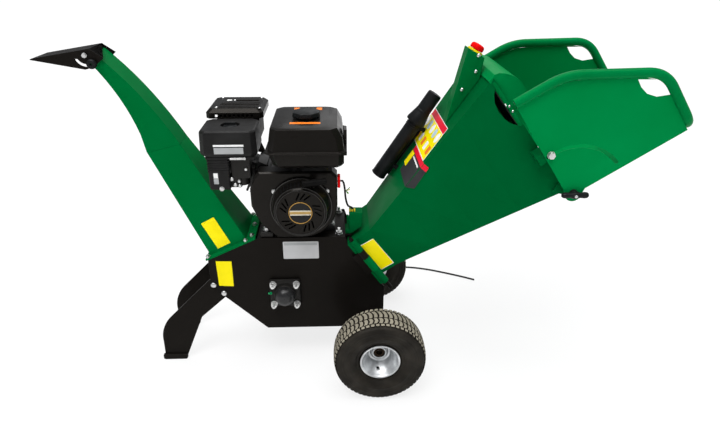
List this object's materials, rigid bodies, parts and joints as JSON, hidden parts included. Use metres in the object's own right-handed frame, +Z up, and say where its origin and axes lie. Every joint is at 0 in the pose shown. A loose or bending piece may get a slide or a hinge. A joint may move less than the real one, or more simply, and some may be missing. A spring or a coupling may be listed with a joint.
{
  "type": "garden shredder",
  "caption": "Wheeled wood shredder: small petrol engine, belt-driven rotor, swing-away hopper with folding tray, tall chute with tilting hood.",
  "frame": {"origin": "on the ground, under the middle of the machine", "axes": "+X towards the feed tray, +Y towards the belt side, +Z up"},
  "size_m": [1.7098, 0.7628, 0.9888],
  "materials": {
    "green_coat": "glossy powder coat",
    "black_coat": "satin powder coat",
    "engine_black": "satin black paint",
    "casting": "as cast",
    "zinc": "bright zinc plate",
    "tool_steel": "ground",
    "tyre_rubber": "matt",
    "belt_rubber": "matt",
    "black_plastic": "moulded",
    "red_plastic": "glossy",
    "cable_sheath": "matt"
  },
  "bodies": {
    "frame": {"side_plate_near": "black_coat", "side_plate_far": "black_coat", "housing_wrap": "black_coat", "rotor_cover": "black_coat", "top_deck": "black_coat", "inlet_frame": "black_coat", "anvil": "tool_steel", "interlock_box": "green_coat", "leg_near": "black_coat", "leg_far": "black_coat", "bearing_near": "black_coat", "bearing_far": "black_coat", "hinge_pin": "zinc", "axle": "zinc", "drive_belt": "belt_rubber", "belt_guard": "black_coat", "chute_lower": "green_coat", "chute_upper": "green_coat", "engine_plate": "black_coat", "engine_block": "casting", "cylinder_head": "casting", "blower_shroud": "engine_black", "recoil_cover": "engine_black", "fuel_tank": "engine_black", "air_cleaner_base": "engine_black", "air_cleaner_cover": "engine_black", "carburettor": "casting", "muffler": "casting", "muffler_guard": "engine_black", "stop_lead": "cable_sheath", "lead_gland": "black_plastic", "loose_lead": "cable_sheath"},
    "rotor": {"rotor_drum": "tool_steel", "knife_a": "zinc", "knife_b": "zinc", "rotor_pulley": "casting"},
    "crank": {"crankshaft": "casting", "drive_pulley": "casting"},
    "wheel_near": {"rim_near": "zinc", "tyre_near": "tyre_rubber"},
    "wheel_far": {"rim_far": "zinc", "tyre_far": "tyre_rubber"},
    "hopper": {"hopper_funnel": "green_coat", "hopper_cowl": "green_coat", "estop_box": "green_coat", "manual_tube": "black_plastic"},
    "stop_button": {"estop_button": "red_plastic"},
    "paper_tube_cap": {"tube_cap": "black_plastic"},
    "tray": {"tray_shell": "green_coat", "tray_tube": "green_coat"},
    "tray_clamp_near": {"tray_knob_near": "black_plastic"},
    "tray_clamp_far": {"tray_knob_far": "black_plastic"},
    "hood": {"deflector": "black_coat"},
    "hood_clamp": {"deflector_knob": "black_plastic"},
    "filler_cap": {"fuel_cap": "black_plastic"},
    "cleaner_nut": {"air_cleaner_knob": "black_plastic"},
    "choke": {"choke_lever": "zinc"},
    "throttle": {"throttle_lever": "zinc"},
    "switch": {"engine_switch": "red_plastic"},
    "starter_grip": {"recoil_handle": "black_plastic"}
  },
  "joints": [
    {"name": "rotor_spin", "type": "hinge", "parent": "frame", "child": "rotor", "pos_m": [-0.22, 0, 0.252], "axis": [0, 1, 0], "continuous": true},
    {"name": "crank_spin", "type": "hinge", "parent": "frame", "child": "crank", "pos_m": [-0.159, 0, 0.5441], "axis": [0, 1, 0], "continuous": true},
    {"name": "wheel_near_spin", "type": "hinge", "parent": "frame", "child": "wheel_near", "pos_m": [0.062, -0.262, 0.135], "axis": [0, 1, 0], "continuous": true},
    {"name": "wheel_far_spin", "type": "hinge", "parent": "frame", "child": "wheel_far", "pos_m": [0.062, 0.262, 0.135], "axis": [0, 1, 0], "continuous": true},
    {"name": "hopper_swing", "type": "hinge", "parent": "frame", "child": "hopper", "pos_m": [0.04296, -0.108, 0.35259], "axis": [0.5878, 0, -0.809], "range_deg": [0, 90]},
    {"name": "stop_press", "type": "slide", "parent": "hopper", "child": "stop_button", "axis": [-0.4921, 0, -0.8706], "range_m": [0, 0.005], "stiffness_N_per_m": 500, "springref_m": -0.001},
    {"name": "tube_cap_pull", "type": "slide", "parent": "hopper", "child": "paper_tube_cap", "axis": [0.5648, 0, 0.8252], "range_m": [0, 0.06]},
    {"name": "tray_fold", "type": "hinge", "parent": "hopper", "child": "tray", "pos_m": [0.56802, 0, 0.63197], "axis": [0, -1, 0], "range_deg": [0, 80]},
    {"name": "tray_clamp_near_turn", "type": "hinge", "parent": "hopper", "child": "tray_clamp_near", "pos_m": [0.56802, -0.245, 0.63197], "axis": [0, 1, 0], "range_deg": [0, 180]},
    {"name": "tray_clamp_far_turn", "type": "hinge", "parent": "hopper", "child": "tray_clamp_far", "pos_m": [0.56802, 0.245, 0.63197], "axis": [0, 1, 0], "range_deg": [0, 180]},
    {"name": "hood_tilt", "type": "hinge", "parent": "frame", "child": "hood", "pos_m": [-0.709, 0, 0.961], "axis": [0, -1, 0], "range_deg": [0, 60]},
    {"name": "hood_clamp_turn", "type": "hinge", "parent": "frame", "child": "hood_clamp", "pos_m": [-0.69351, -0.055, 0.93888], "axis": [0, 1, 0], "range_deg": [0, 180]},
    {"name": "filler_cap_turn", "type": "hinge", "parent": "frame", "child": "filler_cap", "pos_m": [-0.139, -0.026, 0.79], "axis": [0, 0, 1], "range_deg": [0, 90]},
    {"name": "cleaner_nut_turn", "type": "hinge", "parent": "frame", "child": "cleaner_nut", "pos_m": [-0.35, -0.05, 0.765], "axis": [0, 0, 1], "range_deg": [0, 180]},
    {"name": "choke_swing", "type": "hinge", "parent": "frame", "child": "choke", "pos_m": [-0.309, -0.1115, 0.6935], "axis": [0, -1, 0], "range_deg": [0, 35]},
    {"name": "throttle_swing", "type": "hinge", "parent": "frame", "child": "throttle", "pos_m": [-0.088, -0.052, 0.6541], "axis": [0, 0, 1], "range_deg": [0, 30]},
    {"name": "switch_turn", "type": "hinge", "parent": "frame", "child": "switch", "pos_m": [-0.05, -0.084, 0.6131], "axis": [1, 0, 0], "range_deg": [0, 45]},
    {"name": "starter_pull", "type": "slide", "parent": "frame", "child": "starter_grip", "axis": [0.2494, -0.798, 0.5486], "range_m": [0, 0.3]}
  ],
  "couplings": [
    {"joint": "crank_spin", "follows": "rotor_spin", "ratio": 1.5714}
  ]
}
